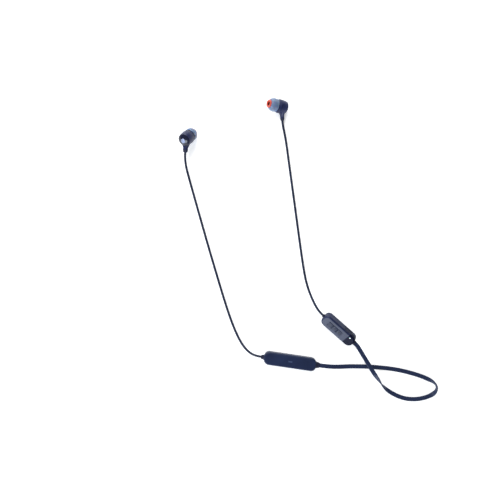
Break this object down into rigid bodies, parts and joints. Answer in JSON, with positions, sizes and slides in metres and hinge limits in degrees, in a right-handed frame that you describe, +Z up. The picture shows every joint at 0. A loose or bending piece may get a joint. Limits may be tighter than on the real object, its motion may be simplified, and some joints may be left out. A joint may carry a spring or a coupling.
{
  "type": "neckband earphones",
  "caption": "Wireless in-ear earphones with a flat neck ribbon, a battery capsule, a keyed remote capsule with a flap-covered charging socket, and soft two-tone ear tips.",
  "frame": {"origin": "centre of the box around everything but the free cords, on the surface the part lies on", "axes": "+Z up off the surface, +Y from the two capsules towards the ear buds, +X across from the left bud towards the right side"},
  "size_m": [0.2397, 0.2787, 0.0195],
  "materials": {
    "housing_plastic": "satin moulded navy plastic",
    "dark_cap": "polished dark navy plastic",
    "polished_inlay": "thin polished plate",
    "white_mark": "small printed-look dot",
    "steel_mesh": "fine woven grille",
    "pressed_steel": "plated pressed steel",
    "magnet": "nickel-plated magnet",
    "copper": "bare and enamelled copper",
    "cone_foil": "clear film",
    "navy_rubber": "soft matte navy rubber",
    "orange_silicone": "smooth orange silicone",
    "clear_silicone": "translucent smoky silicone",
    "cable_skin": "matte navy cable skin",
    "module_plastic": "satin moulded navy plastic",
    "key_rubber": "soft navy rubber",
    "green_board": "green board",
    "black_chip": "black moulded package",
    "light_lens": "clear light guide",
    "cell_foil": "soft silver pouch foil",
    "foam": "dark closed-cell foam"
  },
  "bodies": {
    "headset": {"left_front_housing": "housing_plastic", "left_rear_housing": "housing_plastic", "left_end_cap": "dark_cap", "left_cap_inlay": "polished_inlay", "left_channel_dot": "white_mark", "left_nozzle_mesh": "steel_mesh", "left_driver_basket": "pressed_steel", "left_driver_yoke": "pressed_steel", "left_driver_magnet": "magnet", "left_driver_leads": "copper", "left_bud_relief": "navy_rubber", "right_front_housing": "housing_plastic", "right_rear_housing": "housing_plastic", "right_end_cap": "dark_cap", "right_cap_inlay": "polished_inlay", "right_channel_dot": "white_mark", "right_nozzle_mesh": "steel_mesh", "right_driver_basket": "pressed_steel", "right_driver_yoke": "pressed_steel", "right_driver_magnet": "magnet", "right_driver_leads": "copper", "right_bud_relief": "navy_rubber", "left_cable": "cable_skin", "right_cable": "cable_skin", "ribbon_cable": "cable_skin", "remote_top_shell": "module_plastic", "remote_bottom_shell": "module_plastic", "remote_circuit_board": "green_board", "radio_chip": "black_chip", "tact_switches": "pressed_steel", "microphone": "pressed_steel", "status_light": "light_lens", "light_guide": "light_lens", "charging_socket": "pressed_steel", "remote_leads": "copper", "remote_cable_relief": "navy_rubber", "remote_ribbon_relief": "navy_rubber", "battery_top_shell": "module_plastic", "battery_bottom_shell": "module_plastic", "battery_face_inlay": "polished_inlay", "battery_cell": "cell_foil", "battery_foam_pad": "foam", "battery_protection_board": "green_board", "battery_leads": "copper", "battery_cable_relief": "navy_rubber", "battery_ribbon_relief": "navy_rubber"},
    "left_ear_tip": {"left_ear_tip_core": "orange_silicone", "left_ear_tip_flange": "clear_silicone"},
    "right_ear_tip": {"right_ear_tip_core": "orange_silicone", "right_ear_tip_flange": "clear_silicone"},
    "left_cone": {"left_voice_coil": "copper", "left_diaphragm": "cone_foil"},
    "right_cone": {"right_voice_coil": "copper", "right_diaphragm": "cone_foil"},
    "volume_up": {"volume_up_key": "key_rubber"},
    "play": {"play_key": "key_rubber"},
    "volume_down": {"volume_down_key": "key_rubber"},
    "flap": {"port_flap": "key_rubber"}
  },
  "joints": [
    {"name": "left_ear_tip_pull", "type": "slide", "parent": "headset", "child": "left_ear_tip", "axis": [0.3999, 0.5598, -0.7258], "range_m": [0, 0.006]},
    {"name": "left_cone_stroke", "type": "slide", "parent": "headset", "child": "left_cone", "axis": [0.3999, 0.5598, -0.7258], "range_m": [-0.00015, 0.00015], "stiffness_N_per_m": 100},
    {"name": "right_ear_tip_pull", "type": "slide", "parent": "headset", "child": "right_ear_tip", "axis": [-0.8432, 0.07, 0.5331], "range_m": [0, 0.006]},
    {"name": "right_cone_stroke", "type": "slide", "parent": "headset", "child": "right_cone", "axis": [-0.8432, 0.07, 0.5331], "range_m": [-0.00015, 0.00015], "stiffness_N_per_m": 100},
    {"name": "volume_up_press", "type": "slide", "parent": "headset", "child": "volume_up", "axis": [0.3801, 0.4296, -0.8192], "range_m": [0, 0.00025], "stiffness_N_per_m": 300},
    {"name": "play_press", "type": "slide", "parent": "headset", "child": "play", "axis": [0.3801, 0.4296, -0.8192], "range_m": [0, 0.00025], "stiffness_N_per_m": 300},
    {"name": "volume_down_press", "type": "slide", "parent": "headset", "child": "volume_down", "axis": [0.3801, 0.4296, -0.8192], "range_m": [0, 0.00025], "stiffness_N_per_m": 300},
    {"name": "flap_hinge", "type": "hinge", "parent": "headset", "child": "flap", "pos_m": [0.07039, -0.08465, 0.00934], "axis": [-0.3801, -0.4296, 0.8192], "range_deg": [0, 100]}
  ]
}
